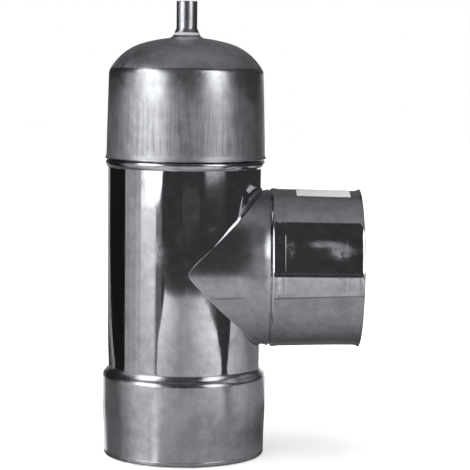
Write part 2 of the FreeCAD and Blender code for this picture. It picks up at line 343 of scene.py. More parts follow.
# Hairline scratches: thin lines where a stretched wave noise crosses its middle value
def makeScratchGroup():
    group, inward, outward = newGroup("hairScratches", {"Scale": 30.0}, ("Mask",))
    scratches = 0.0
    for turn, squeeze in ((0.5, 0.012), (1.9, 0.010), (2.8, 0.015)):
        turned = addNode(group, "ShaderNodeVectorRotate", {
            "Vector": inward["Vector"], "Angle": turn, "Axis": (0.3, 1.0, 0.2),
        }, rotation_type="AXIS_ANGLE").outputs[0]
        flat = vectorNode(group, "MULTIPLY", turned, (1.0, 1.0, squeeze))
        cells = noiseNode(group, flat, inward["Scale"], 1.0)
        line = fallingMask(group, mathNode(group, "ABSOLUTE", minus(group, cells, 0.5)), 0.0, 0.006)
        patches = noiseNode(group, turned, times(group, inward["Scale"], 1.3))
        scratches = larger(group, times(group, line, easedMask(group, patches, 0.54, 0.66)), scratches)
    group.links.new(scratches, outward["Mask"])
    return group


# Upright press marks over the lip: the angle round the axis times their number, through a sine, whose
# crests are the marks. They fade out at an uneven height.
def makeCrimpGroup():
    group, inward, outward = newGroup("crimpMarks", {"Count": 73.0, "Foot": 0.0, "Reach": 0.02}, ("Mask",))
    split = addNode(group, "ShaderNodeSeparateXYZ", {0: inward["Vector"]}).outputs
    turn = mathNode(group, "ARCTAN2", split["Y"], split["X"])
    marks = easedMask(group, mathNode(group, "SINE", times(group, turn, inward["Count"])), 0.72, 1.0)
    ragged = noiseNode(group, vectorNode(group, "MULTIPLY", inward["Vector"], (1.0, 1.0, 0.0)), 120.0, 1.0)
    above = mathNode(group, "DIVIDE", minus(group, split["Z"], inward["Foot"]), inward["Reach"])
    limit = timesPlus(group, ragged, 1.6, 0.1)
    fading = fallingMask(group, above, minus(group, limit, 0.45), limit)
    low = times(group, fading, easedMask(group, above, 0.0, 0.15))
    group.links.new(times(group, marks, low), outward["Mask"])
    return group


filmGroup = makeFilmGroup()
streakGroup = makeStreakGroup()
scratchGroup = makeScratchGroup()
crimpGroup = makeCrimpGroup()
wipedGroup = makeWipedGroup()

steel = dict(
    colour=(0.640, 0.651, 0.690, 1.0),
    filmColour=(0.466, 0.475, 0.508, 1.0), toneShare=0.65, maskShare=0.35,
    streakColour=(0.156, 0.159, 0.172, 1.0), streakEdge=(0.46, 0.66), streakHeight=0.000012, streakLeast=0.08,
    # The pale non-metal white is a painted highlight on the drain's collar
    collarHighlightColour=(0.80, 0.80, 0.82, 1.0),
    waveScale=14.0, waveHeight=0.00035, waveStrength=0.5,      # slow waves of the sheet
    scratchScale=26.0,
    crimpCount=73.0, crimpFoot=0.2355, crimpReach=0.022, crimpTone=0.22, crimpHeight=0.00005,
)


# Bare stainless sheet: mirror finish with film on it that turns satin where the press has worked it.
# masksOf gives five values from 0 to 1 from the object coordinates: the satin zones, the streaked ones,
# the dark lines, the height of a broad pressed shape, and where the steel is bare rather than painted a pale
# non-metal white, a painted highlight.
def steelMaterial(name, finish, masksOf):
    material, tree, output = newMaterial(name)
    place = objectPlace(tree)
    split = addNode(tree, "ShaderNodeSeparateXYZ", {0: place}).outputs
    satin, streaked, dark, pressed, bare = masksOf(tree, place, split)
    film = groupNode(tree, filmGroup, {
        "Vector": place, "Patch Scale": finish["patchScale"], "Cover": finish["cover"]})
    streaks = groupNode(tree, streakGroup, {
        "Vector": place, "Stretch": finish["stretch"], "Scale": finish["streakScale"]})["Height"]
    scratches = groupNode(tree, scratchGroup, {"Vector": place, "Scale": steel["scratchScale"]})["Mask"]
    crimps = groupNode(tree, crimpGroup, {
        "Vector": place, "Count": steel["crimpCount"], "Foot": steel["crimpFoot"],
        "Reach": steel["crimpReach"]})["Mask"]
    crimped = times(tree, crimps, finish["crimps"])

    # Roughness: mirror, then film and smudges, then the satin of the worked zones
    filmed = timesPlus(tree, film["Mask"], finish["filmRough"], finish["mirrorRough"])
    smudged = timesPlus(tree, film["Smudge"], finish["smudgeRough"], filmed)
    worked = timesPlus(tree, film["Mask"], -finish["blotchRough"], finish["satinRough"])
    for middle, halfSize, stretch, dull in finish["wiped"]:
        patch = groupNode(tree, wipedGroup, {
            "Vector": place, "Middle": middle, "Half Size": halfSize, "Stretch": stretch})["Mask"]
        smudged = timesPlus(tree, patch, dull, smudged)
    rough = addNode(tree, "ShaderNodeMix", {"Factor": satin, "A": smudged, "B": worked}, data_type="FLOAT")
    polished = larger(tree, minus(tree, 1.0, satin), 0.0)
    scored = timesPlus(tree, times(tree, scratches, polished), finish["scratchRough"], rough.outputs[0])

    # Colour: bare steel, duller under the film and darker down the streaks and press marks
    mottled = timesPlus(tree, film["Tone"], steel["toneShare"], times(tree, film["Mask"], steel["maskShare"]))
    filmTone = colourMix(tree, mottled, steel["colour"], steel["filmColour"])
    lines = times(tree, easedMask(tree, streaks, *steel["streakEdge"]), streaked)
    marked = timesPlus(tree, lines, finish["streakTone"], times(tree, crimped, steel["crimpTone"]))
    colour = colourMix(tree, larger(tree, marked, dark), filmTone, steel["streakColour"])
    # Where the steel is not bare it takes that pale white instead: a painted highlight
    if isinstance(bare, bpy.types.NodeSocket):
        colour = colourMix(tree, bare, steel["collarHighlightColour"], colour)

    waves = noiseNode(tree, place, steel["waveScale"], 1.0)
    bump = bumpNode(tree, waves, steel["waveHeight"], steel["waveStrength"])
    bump = bumpNode(tree, pressed, finish["pressHeight"], below=bump)
    streakStrength = timesPlus(tree, streaked, finish["streakGain"], steel["streakLeast"])
    bump = bumpNode(tree, streaks, steel["streakHeight"], streakStrength, bump)
    bump = bumpNode(tree, crimped, steel["crimpHeight"], below=bump, invert=True)
    shader = addNode(tree, "ShaderNodeBsdfPrincipled", {
        "Base Color": colour, "Metallic": bare, "Roughness": scored, "Normal": bump,
        "Anisotropic": finish["spread"]})
    tree.links.new(shader.outputs[0], output)
    return material


# What most of the sheet has. Finishes are in metres, and an edge is the two places where it starts and ends.
plainFinish = dict(cover=0.50, spread=0.0, scratchRough=0.0, pressHeight=0.0, crimps=0.0, wiped=())

# The run is satin on its expanded socket and the step, less on the stop bead
runFinish = dict(
    plainFinish, patchScale=24.0, filmRough=0.05, smudgeRough=0.05, mirrorRough=0.055, satinRough=0.255,
    blotchRough=0.09, stretch=(1.0, 1.0, 0.04), streakScale=420.0, streakTone=0.05, streakGain=0.2,
    scratchRough=0.04, socketEdge=(0.0565, 0.0605), stepEdge=(0.0680, 0.0715), beadEdge=(0.2230, 0.2245),
    beadShare=0.80,
    wiped=(
        ((-0.019, -0.056, 0.162), (0.014, 0.030, 0.026), (1.0, 1.0, 0.25), 0.17),
        ((-0.002, -0.060, 0.176), (0.016, 0.030, 0.024), (1.0, 1.0, 0.10), 0.12),
    ),
)


def runMasks(tree, place, split):
    socket = fallingMask(tree, split["Z"], *runFinish["socketEdge"])
    step = fallingMask(tree, split["Z"], *runFinish["stepEdge"])
    bead = times(tree, easedMask(tree, split["Z"], *runFinish["beadEdge"]), runFinish["beadShare"])
    return larger(tree, step, bead), socket, 0.0, 0.0, 1.0


# The stub is dull, most so at its flare and towards its top and bottom. The rest of the branch is
# nearly a mirror under smudges. Its weld seam is a dark line that drifts a little along the branch.
branchFinish = dict(
    plainFinish, patchScale=30.0, cover=0.40, filmRough=0.06, smudgeRough=0.15, mirrorRough=0.055,
    satinRough=0.36, blotchRough=0.05, stretch=(0.025, 1.0, 1.0), streakScale=420.0, streakTone=0.05,
    streakGain=0.2, scratchRough=0.04, pressHeight=0.0034,
    stubEdge=(0.0640, 0.0655), endsEdge=(0.026, 0.044), flareEdge=(0.036, 0.054), flareShare=0.9,
    dullLeast=0.50, seamTurn=1.888, seamDrift=-0.5, seamEdge=(0.004, 0.014), seamTone=0.62,
    stubSeamStart=(0.020, 0.027), stubSeamEnd=(0.040, 0.048), hubSeamStart=(0.0655, 0.0675),
    swellStart=0.038, swellEnd=0.0642, swellPower=1.6, swellFoot=(0.0, 0.020), swellTop=(0.020, 0.052),
    swellStop=(0.0643, 0.0651),
    wiped=(
        ((0.1175, -0.058, 0.1645), (0.020, 0.034, 0.0150), (0.8, 1.0, 1.0), 0.66),
        ((0.0790, -0.058, 0.1660), (0.0100, 0.034, 0.0170), (0.4, 0.4, 0.4), 0.50),
        ((0.104, -0.058, 0.1700), (0.026, 0.034, 0.0060), (0.25, 1.0, 1.0), 0.62),
        ((0.103, -0.058, 0.1660), (0.034, 0.030, 0.0200), (0.3, 0.5, 0.5), 0.16),
    ),
)


def branchMasks(tree, place, split):
    size = branchFinish
    along = split["X"]
    above = minus(tree, split["Z"], branchAxis * mm)
    stub = fallingMask(tree, along, *size["stubEdge"])
    ends = easedMask(tree, mathNode(tree, "ABSOLUTE", above), *size["endsEdge"])
    flare = times(tree, easedMask(tree, along, *size["flareEdge"]), size["flareShare"])
    dull = timesPlus(tree, larger(tree, ends, flare), 1 - size["dullLeast"], size["dullLeast"])
    turn = mathNode(tree, "ARCTAN2", times(tree, split["Y"], -1.0), above)
    fromSeam = minus(tree, turn, timesPlus(tree, along, size["seamDrift"], size["seamTurn"]))
    seam = fallingMask(tree, mathNode(tree, "ABSOLUTE", fromSeam), *size["seamEdge"])
    onStub = times(tree, easedMask(tree, along, *size["stubSeamStart"]),
                   fallingMask(tree, along, *size["stubSeamEnd"]))
    started = larger(tree, onStub, easedMask(tree, along, *size["hubSeamStart"]))
    line = times(tree, seam, times(tree, started, size["seamTone"]))
    # The stub swells towards its bead above the middle, by the way along it to a power
    way = addNode(tree, "ShaderNodeMapRange", {
        "Value": along, "From Min": size["swellStart"], "From Max": size["swellEnd"]}).outputs[0]
    zone = times(tree, easedMask(tree, above, *size["swellFoot"]),
                 fallingMask(tree, above, *size["swellTop"]))
    ended = times(tree, zone, fallingMask(tree, along, *size["swellStop"]))
    pressed = times(tree, mathNode(tree, "POWER", way, size["swellPower"]), ended)
    return times(tree, stub, dull), stub, line, pressed, 1.0


# The cap is satin from its lip up, most on its crown and up to an uneven height of its skirt, where it
# is streaked too
capFinish = dict(
    plainFinish, patchScale=30.0, filmRough=0.03, smudgeRough=0.03, mirrorRough=0.08, satinRough=0.46,
    blotchRough=0.08, stretch=(1.0, 1.0, 0.045), streakScale=480.0, streakTone=0.36, streakGain=0.40,
    spread=0.55, crimps=1.0, skirtEdge=(0.2965, 0.2995), cloudScale=42.0, cloudReach=0.05,
    lowEdge=(0.266, 0.300), lowShare=0.45, skirtShare=0.42, domeEdge=(0.2985, 0.3010), domeShare=0.95,
    neckEdge=(0.3205, 0.3235), lipEdge=(0.2306, 0.2318), clearEdge=(0.2325, 0.2365),
)


def capMasks(tree, place, split):
    size = capFinish
    height = split["Z"]
    skirt = fallingMask(tree, height, *size["skirtEdge"])
    cloud = noiseNode(tree, place, size["cloudScale"], 4.0)
    uneven = timesPlus(tree, minus(tree, cloud, 0.5), size["cloudReach"], height)
    low = fallingMask(tree, uneven, *size["lowEdge"])
    dome = times(tree, easedMask(tree, height, *size["domeEdge"]), size["domeShare"])
    worked = larger(tree, timesPlus(tree, low, size["lowShare"], size["skirtShare"]), dome)
    neck = timesPlus(tree, fallingMask(tree, height, *size["neckEdge"]), 0.5, 0.5)
    satin = times(tree, easedMask(tree, height, *size["lipEdge"]), worked)
    spotted = times(tree, skirt, timesPlus(tree, low, 0.75, 0.25))
    streaked = times(tree, spotted, easedMask(tree, height, *size["clearEdge"]))
    return times(tree, satin, neck), streaked, 0.0, 0.0, 1.0


# The drain is brushed along its length, and its collar is painted a pale non-metal white as a painted
# highlight ring
drainFinish = dict(
    plainFinish, patchScale=60.0, cover=0.40, filmRough=0.03, smudgeRough=0.03, mirrorRough=0.10,
    satinRough=0.32, blotchRough=0.03, stretch=(1.0, 1.0, 0.08), streakScale=900.0, streakTone=0.22,
    streakGain=0.35, spread=0.5, collarEdge=(0.3270, 0.3276), tubeEdge=(0.328, 0.332), satinShare=0.75,
    wiped=(((0.0, 0.0, 0.3262), (0.08, 0.08, 0.004), (1.0, 1.0, 1.0), 0.75),),
)


def drainMasks(tree, place, split):
    # Below the collar's top edge the steel is painted pale white as a highlight, not bare
    plain = easedMask(tree, split["Z"], *drainFinish["collarEdge"])
    streaked = easedMask(tree, split["Z"], *drainFinish["tubeEdge"])
    return times(tree, plain, drainFinish["satinShare"]), streaked, 0.0, 0.0, plain


runSteel = steelMaterial("runSteel", runFinish, runMasks)
branchSteel = steelMaterial("branchSteel", branchFinish, branchMasks)
capSteel = steelMaterial("capSteel", capFinish, capMasks)
drainSteel = steelMaterial("drainSteel", drainFinish, drainMasks)


# Blank white paper with a faint grain
def paperMaterial():
    material, tree, output = newMaterial("labelPaper")
    place = objectPlace(tree)
    pulp = noiseNode(tree, place, 900.0, 4.0)
    blotches = noiseNode(tree, place, 70.0, 3.0)
    shader = addNode(tree, "ShaderNodeBsdfPrincipled", {
        "Base Color": colourMix(tree, blotches, (0.80, 0.80, 0.79, 1.0), (0.70, 0.70, 0.70, 1.0)),
        "Roughness": timesPlus(tree, pulp, 0.2, 0.45), "Normal": bumpNode(tree, pulp, 0.00003, 0.4)})
    tree.links.new(shader.outputs[0], output)
    return material


labelPaper = paperMaterial()
print("Finishes ready")


# Run: socket, step, pipe, stop bead and male end
run = dict(
    radius=60.0, wall=0.5,
    mouthRadius=62.8, mouthTop=13.0, curlDrop=0.2, curlHeight=1.0, rimHeight=3.7, rimRise=0.09, rimHalf=0.5,
    socketRadius=63.60, taperTop=36.0, stepBottom=61.1, stepTop=69.8, stepShare=0.42,
    beadBottom=223.8, beadPeak=227.8, beadTop=230.2, beadRadius=61.8,
    maleRadius=59.35, maleTop=278.2,
    holeRadius=57.9, holeZone=85.0, holeRows=81,
    seamTurn=271.0, seamSpread=1.3, seamHeight=0.02,
    roundness=0.16,
)


# The opening starts at the angle whose sine is its half width at that height over the pipe's
# radius, and the columns within the zone beside it close up towards the seam side
def runSurface(size):
    radius, male = size["radius"], size["maleRadius"]
    mouth, socket = size["mouthRadius"], size["socketRadius"]
    rimLow, rimHigh = size["rimHeight"] - size["rimHalf"], size["rimHeight"] + size["rimHalf"]
    stepMiddle = (socket + size["stepShare"] * (radius - socket),
                  size["stepBottom"] + size["stepShare"] * (size["stepTop"] - size["stepBottom"]))
    acrossHole = branchAxis - size["holeRadius"] * np.cos(np.linspace(0, np.pi, size["holeRows"]))
    outline = joined(
        levelArc((mouth - size["curlDrop"], 0), (mouth, size["curlHeight"]), 5, "end"),
        straight((mouth, size["curlHeight"]), (mouth, rimLow), 3),
        creased((mouth, size["rimHeight"]), size["rimHalf"], size["rimRise"]),
        straight((mouth, rimHigh), (mouth, size["mouthTop"]), 4),
        straight((mouth, size["mouthTop"]), (socket, size["taperTop"]), 6),
        straight((socket, size["taperTop"]), (socket, size["stepBottom"]), 6),
        levelArc((socket, size["stepBottom"]), stepMiddle, 10),
        levelArc(stepMiddle, (radius, size["stepTop"]), 10, "end"),
        straight((radius, size["stepTop"]), (radius, branchAxis - size["holeRadius"]), 5),
        np.column_stack((np.full(size["holeRows"], radius), acrossHole)),
        straight((radius, branchAxis + size["holeRadius"]), (radius, size["beadBottom"]), 6),
        levelArc((radius, size["beadBottom"]), (size["beadRadius"], size["beadPeak"]), 8, "end"),
        levelArc((size["beadRadius"], size["beadPeak"]), (male, size["beadTop"]), 7),
        straight((male, size["beadTop"]), (male, size["maleTop"]), 6),
    )
    face, height = outline[:, :1], outline[:, 1:]
    seamTurn = math.radians(size["seamTurn"])
    turns = np.append(turnsRound(seamTurn, size["seamSpread"]), 2 * np.pi)[None, :]
    halfWidth = np.sqrt(np.clip(size["holeRadius"] ** 2 - (height - branchAxis) ** 2, 0, None))
    holeTurn = np.arcsin(halfWidth / radius)
    fromHole = np.minimum(turns, 2 * np.pi - turns)
    shift = holeTurn * np.clip(1 - fromHole / math.radians(size["holeZone"]), 0, None)
    turned = np.where(turns < np.pi, turns + shift, turns - shift)
    # The worked socket is a little out of round, and less so towards the pipe
    worked = np.clip((size["stepTop"] - height) / size["stepTop"], 0, 1)
    waves = (np.sin(3 * turned + 0.7) * 0.35 + np.sin(8 * turned + 0.02 * height) * 0.35
             + np.sin(14 * turned + 2.0) * 0.3)
    uneven = size["roundness"] * worked * (waves - 1.4)
    across = face + uneven + seamBell(turned, seamTurn, size["seamHeight"], size["seamSpread"])
    return np.stack((across * np.cos(turned), across * np.sin(turned),
                     np.broadcast_to(height, across.shape)), axis=-1)


finishPiece("run_tube", runSurface(run), False, "pipe", ["run_pipe"], runSteel, run["wall"])
print("Run done")

# Branch: stub, flare, bead, hub, tapered socket, land and lip
branch = dict(
    stubRadius=59.9, flareStart=58.8, flareEnd=64.3, flareRadius=61.0,
    grooveEnd=65.3, grooveRadius=60.0, ridgePeak=68.3, ridgeRadius=61.9, ridgeEnd=73.8,
    hubRadius=61.3, taperStart=75.4, landStart=117.0, landRadius=60.3, lipStart=130.5,
    hubCrease=0.09, landCrease=0.05, creasePlace=121.4, creaseWidth=0.45,
    lipEnd=135.0, lipRadius=61.62, wall=0.5,
    seamTurn=105.5, seamSpread=2.2, seamHeight=0.03,
    hollowPlace=49.0, hollowLength=8.0, hollowDepth=0.60,
)


# The outer face starts where the run's wall is: its distance along the branch is the root of the
# run's radius squared less the square of the point's distance from the middle plane
def branchSurface(size):
    hub, land, ridge, crease = size["hubRadius"], size["landRadius"], size["ridgeRadius"], size["creaseWidth"]
    outline = joined(
        straight((size["stubRadius"], 0), (size["stubRadius"], size["flareStart"]), 44),
        levelArc((size["stubRadius"], size["flareStart"]), (size["flareRadius"], size["flareEnd"]), 12),
        straight((size["flareRadius"], size["flareEnd"]), (size["grooveRadius"], size["grooveEnd"]), 5),
        levelArc((size["grooveRadius"], size["grooveEnd"]), (ridge, size["ridgePeak"]), 9, "end"),
        eased((ridge, size["ridgePeak"]), (hub, size["ridgeEnd"]), 12),
        straight((hub, size["ridgeEnd"]), (hub, size["taperStart"] - crease), 3),
        creased((hub, size["taperStart"]), crease, size["hubCrease"]),
        straight((hub, size["taperStart"] + crease), (land, size["landStart"]), 22),
        straight((land, size["landStart"]), (land, size["creasePlace"] - crease), 3),
        creased((land, size["creasePlace"]), crease, size["landCrease"]),
        straight((land, size["creasePlace"] + crease), (land, size["lipStart"]), 7),
        levelArc((land, size["lipStart"]), (size["lipRadius"], size["lipEnd"]), 9),
    )
    section = sheetSection(outline, size["wall"], 2)
    seamTurn = math.radians(size["seamTurn"])
    turns = turnsRound(seamTurn, size["seamSpread"])[None, :]
    baseAlong = section[:, 1:]
    radius = np.broadcast_to(section[:, :1], (len(section), turns.shape[1])).copy()
    onStub = baseAlong <= size["flareEnd"]
    inner = np.arange(len(section))[:, None] >= len(outline)
    depth = np.where(inner, size["wall"], 0.0)
    along = np.broadcast_to(baseAlong, radius.shape).copy()
    # The face's radius depends on the way along it, and that on the radius, so both settle in turns
    for settled in range(4):
        aside = np.minimum(np.abs(radius * np.sin(turns)), run["radius"])
        saddle = np.sqrt(run["radius"] ** 2 - aside ** 2)
        share = np.clip(baseAlong / size["flareEnd"], 0, 1)
        along = np.where(onStub, saddle + (size["flareEnd"] - saddle) * share, baseAlong)
        face = np.interp(along, outline[:, 1], outline[:, 0])
        radius = np.where(onStub, face - depth, radius)
    radius = radius + seamBell(turns, seamTurn, size["seamHeight"], size["seamSpread"]) * (1 - inner)
    # The stub is drawn in a little before its flare, most at the front and the back
    hollow = np.exp(-((along - size["hollowPlace"]) / size["hollowLength"]) ** 2) * np.sin(turns) ** 4
    radius = radius - size["hollowDepth"] * hollow * onStub
    return np.stack((along, -radius * np.sin(turns), branchAxis + radius * np.cos(turns)), axis=-1)


finishPiece("branch_tube", branchSurface(branch), True, "pipe", ["branch_pipe"],
            branchSteel)

# Weld bead where the branch meets the run
weldBead = dict(halfWidth=0.14, height=0.09, wideTurn=46.0, wideSpread=22.0, widening=2.35, lowTurn=118.0,
                lowSpread=15.0, lowWidening=0.4, heightShare=0.17, around=12, along=420)


# An oval carried along the line where both outer faces meet. Its height points along the sum of
# the two faces' normals, and its width lies across the line.
def weldSurface(size, tube):
    turns = np.linspace(0, 2 * np.pi, size["along"], endpoint=False)
    radius = tube["stubRadius"]
    reach = np.sqrt(run["radius"] ** 2 - (radius * np.sin(turns)) ** 2)
    line = np.column_stack((reach, -radius * np.sin(turns), branchAxis + radius * np.cos(turns)))
    ahead = np.roll(line, -1, axis=0) - np.roll(line, 1, axis=0)
    ahead /= np.linalg.norm(ahead, axis=1)[:, None]
    onRun = np.column_stack((line[:, 0], line[:, 1], np.zeros(len(line)))) / run["radius"]
    onBranch = np.column_stack((np.zeros(len(line)), -np.sin(turns), np.cos(turns)))
    lift = onRun + onBranch
    lift -= np.sum(lift * ahead, axis=1)[:, None] * ahead
    lift /= np.linalg.norm(lift, axis=1)[:, None]
    side = np.cross(ahead, lift)
    oval = np.linspace(0, 2 * np.pi, size["around"], endpoint=False)
    # The bead is widest part of the way down from the top, front and back, and a little wider again
    # low down
    fromTop = np.degrees(np.minimum(turns, 2 * np.pi - turns))
    widening = (size["widening"] * np.exp(-((fromTop - size["wideTurn"]) / size["wideSpread"]) ** 2)
                + size["lowWidening"] * np.exp(-((fromTop - size["lowTurn"]) / size["lowSpread"]) ** 2))
    ripple = 1 + 0.015 * np.sin(turns * 97) + 0.02 * np.sin(turns * 41 + 1)
    wide = ((size["halfWidth"] + widening) * ripple)[:, None] * np.cos(oval)
    tall = ((size["height"] + size["heightShare"] * widening) * ripple)[:, None] * np.sin(oval)
    points = line[:, None, :] + wide[..., None] * side[:, None, :] + tall[..., None] * lift[:, None, :]
    return points[:, ::-1]


finishPiece("branch_weld", weldSurface(weldBead, branch), True, "pipe", [], runSteel)
print("Branch done")

# Label on top of the branch socket
label = dict(start=85.5, bend=117.0, end=126.8, glue=0.12, thickness=0.15, fromTurn=-8.0, toTurn=20.0)


# The branch's own outer face, lifted by the glue and the paper, between two angles
def labelSurface(size, tube):
    slope = (tube["hubRadius"] - tube["landRadius"]) / (tube["landStart"] - tube["taperStart"])
    along = np.unique(np.concatenate((np.linspace(size["start"], size["bend"], 30),
                                      np.linspace(size["bend"], size["end"], 10))))[:, None]
    face = tube["landRadius"] + slope * np.clip(tube["landStart"] - along, 0, None)
    turns = np.radians(np.linspace(size["fromTurn"], size["toTurn"], 48))[None, :]
    radius = np.broadcast_to(face + size["glue"] + size["thickness"], (len(along), turns.shape[1]))
    return np.stack((np.broadcast_to(along, radius.shape), -radius * np.sin(turns),
                     branchAxis + radius * np.cos(turns)), axis=-1)


finishPiece("paper_label", labelSurface(label, branch), False, "pipe", ["label"], labelPaper,
            label["thickness"])
print("Label done")


# A closed section turned right round the upright axis, with slow unevenness of the sheet
def turnedSurface(section, uneven, steps):
    turns = np.linspace(0, 2 * np.pi, steps, endpoint=False)[None, :]
    height = section[:, 1:]
    radius = section[:, :1] + uneven(turns, height)
    return np.stack((radius * np.cos(turns), radius * np.sin(turns),
                     np.broadcast_to(height, radius.shape)), axis=-1)


# Cap: rolled lip, flare, tapered skirt, knuckle, crown and neck
cap = dict(
    lipRadius=62.5, lipCurl=0.7, lipTop=231.2, flareTop=235.0, skirtRadius=61.55,
    shoulderRadius=59.655, shoulderHeight=297.5, knuckleRadius=42.5, knuckleCentre=(21.69, 278.40),
    crownRadius=120.5, crownCentre=203.47, neckBase=15.0, neckTopRadius=10.3, neckTop=325.44,
    cornerReach=1.5, wall=0.5, roundness=0.07, unevenReach=60, steps=300,
)


# The crown's circle and the knuckle's circle touch on the line through both centres. The corner
# between skirt and knuckle is softened over the same reach on both sides.
def capOutline(size):
    kneeAcross, kneeUp = size["knuckleCentre"]
    knuckle, neck = size["knuckleRadius"], size["neckBase"]
    crown, crownUp = size["crownRadius"], size["crownCentre"]
    reach = crown / (crown - knuckle)
    crownStart = (kneeAcross * reach, crownUp + (kneeUp - crownUp) * reach)
    crownEnd = (neck, crownUp + math.sqrt(crown ** 2 - neck ** 2))
    shoulder = (size["shoulderRadius"], size["shoulderHeight"])
    skirtFoot = np.array((size["skirtRadius"], size["flareTop"]))
    skirt = np.array(shoulder) - skirtFoot
    belowCorner = np.array(shoulder) - size["cornerReach"] * skirt / np.linalg.norm(skirt)
    cornerTurn = math.atan2(shoulder[1] - kneeUp, shoulder[0] - kneeAcross) + size["cornerReach"] / knuckle
    aboveCorner = (kneeAcross + knuckle * math.cos(cornerTurn), kneeUp + knuckle * math.sin(cornerTurn))
    lipBottom = (size["lipRadius"] - size["lipCurl"], size["lipTop"] - size["lipCurl"])
    lipSide = (size["lipRadius"], size["lipTop"])
    return joined(
        arc(lipBottom, lipSide, (lipBottom[0], lipSide[1]), 8),
        levelArc(lipSide, (size["skirtRadius"], size["flareTop"]), 9, "end"),
        straight(skirtFoot, belowCorner, 22),
        softCorner(belowCorner, shoulder, aboveCorner, 9),
        arc(aboveCorner, crownStart, (kneeAcross, kneeUp), 24),
        arc(crownStart, crownEnd, (0, crownUp), 18),
        plumbArc(crownEnd, (size["neckTopRadius"], size["neckTop"]), 8),
    )


# The skirt is slightly out of round towards its lip
def capUneven(turns, height):
    low = np.clip((cap["shoulderHeight"] - height) / cap["unevenReach"], 0, 1)
    return cap["roundness"] * low * (np.sin(2 * turns + 0.5) * 0.6 + np.sin(5 * turns + 1.1) * 0.4 - 1.0)


capPoints = turnedSurface(sheetSection(capOutline(cap), cap["wall"], 3), capUneven, cap["steps"])
finishPiece("drain_cap_shell", capPoints, True, "cap", ["drain_cap"], capSteel)

# Drain: collar, cone and tube with rounded rims
drain = dict(collarRadius=10.3, collarTop=1.6, collarLean=0.55, coneTop=5.3, radius=8.0, bore=7.0, rim=0.35,
             steps=96)


def drainSection(size):
    low, high = drainLow.z / mm, drainHigh.z / mm
    radius, bore, rim, collar = size["radius"], size["bore"], size["rim"], size["collarRadius"]
    leant = collar - size["collarLean"]
    inside = collar - (radius - bore)
    collarTop, coneTop = low + size["collarTop"], low + size["coneTop"]
    return joined(
        levelArc((collar, low), (leant, collarTop), 6),
        straight((leant, collarTop), (radius, coneTop), 5),
        straight((radius, coneTop), (radius, high - rim), 12),
        arc((radius, high - rim), (radius - rim, high), (radius - rim, high - rim), 5),
        straight((radius - rim, high), (bore + rim, high), 2),
        arc((bore + rim, high), (bore, high - rim), (bore + rim, high - rim), 5),
        straight((bore, high - rim), (bore, coneTop), 12),
        straight((bore, coneTop), (inside, collarTop), 5),
        straight((inside, collarTop), (inside, low), 3),
    )


drainPoints = turnedSurface(drainSection(drain), lambda turns, height: 0 * turns, drain["steps"])
finishPiece("drain_tube", drainPoints, True, "cap", ["drain_spigot"], drainSteel)
print("Cap and drain done")


# Studio: a pale floor and plain lamps, and a dark room with soft boxes and paper that only gloss sees

def lightPathMask(tree):
    path = tree.nodes.new("ShaderNodeLightPath").outputs
    seen = larger(tree, path["Is Camera Ray"], path["Is Glossy Ray"])
    return larger(tree, seen, path["Is Transmission Ray"])


# The floor glows more from the near distance to the far one, so that it turns white behind the tee
floorSize = dict(reach=6.0, glow=0.56, farGlow=1.0, near=0.25, far=0.8)


def makeFloor():
    mesh = bpy.data.meshes.new("floor")
    reach = floorSize["reach"]
    corners = [(-reach, -reach, 0), (reach, -reach, 0), (reach, reach, 0), (-reach, reach, 0)]
    mesh.from_pydata(corners, [], [(0, 1, 2, 3)])
    floor = placeObject("floor", mesh)
    material, tree, output = newMaterial("paleFloor")
    away = vectorNode(tree, "LENGTH", objectPlace(tree))
    farther = easedMask(tree, away, floorSize["near"], floorSize["far"])
    glow = timesPlus(tree, farther, floorSize["farGlow"] - floorSize["glow"], floorSize["glow"])
    matt = addNode(tree, "ShaderNodeBsdfDiffuse", {"Color": (0.8, 0.8, 0.8, 1.0)})
    light = addNode(tree, "ShaderNodeEmission", {"Strength": times(tree, glow, lightPathMask(tree))})
    total = addNode(tree, "ShaderNodeAddShader", {0: matt.outputs[0], 1: light.outputs[0]})
    tree.links.new(total.outputs[0], output)
    mesh.materials.append(material)


def makeWorld():
    world = bpy.data.worlds.new("studioWorld")
    bpy.context.scene.world = world
    world.use_nodes = True
    tree = world.node_tree
    tree.nodes.clear()
    output = tree.nodes.new("ShaderNodeOutputWorld")
    strength = timesPlus(tree, lightPathMask(tree), 0.6, 0.4)
    background = addNode(tree, "ShaderNodeBackground", {"Color": (1.0, 1.0, 1.0, 1.0), "Strength": strength})
    tree.links.new(background.outputs[0], output.inputs[0])


# A card is seen only in reflections. Its mesh is in metres. With a fade, given as (axis, from, to,
# last strength), its strength changes evenly over that stretch of y, or of x without its sign.
def makeCard(name, points, strength, fade=None):
    mesh = gridMesh(name, np.array(points, dtype=float) / mm)
    card = placeObject(name, mesh)
    material, tree, output = newMaterial(name)
    glow = addNode(tree, "ShaderNodeEmission", {"Color": (1.0, 1.0, 1.0, 1.0), "Strength": strength})
    if fade:
        axis, near, far, last = fade
        across = addNode(tree, "ShaderNodeSeparateXYZ", {0: objectPlace(tree)}).outputs[axis]
        if axis == "X":
            across = mathNode(tree, "ABSOLUTE", across)
        fading = addNode(tree, "ShaderNodeMapRange", {
            "Value": across, "From Min": near, "From Max": far, "To Min": strength, "To Max": last})
        tree.links.new(fading.outputs[0], glow.inputs["Strength"])
    tree.links.new(glow.outputs[0], output)
    mesh.materials.append(material)
    card.visible_camera = False
    card.visible_diffuse = False
    card.visible_transmission = False
    card.visible_shadow = False


# Points on a circle: its radius times the sine and the negative cosine of the turns, at a height or
# a height each
def circlePoints(distance, turns, height):
    return np.stack((distance * np.sin(turns), -distance * np.cos(turns),
                     np.broadcast_to(height, turns.shape)), axis=-1)


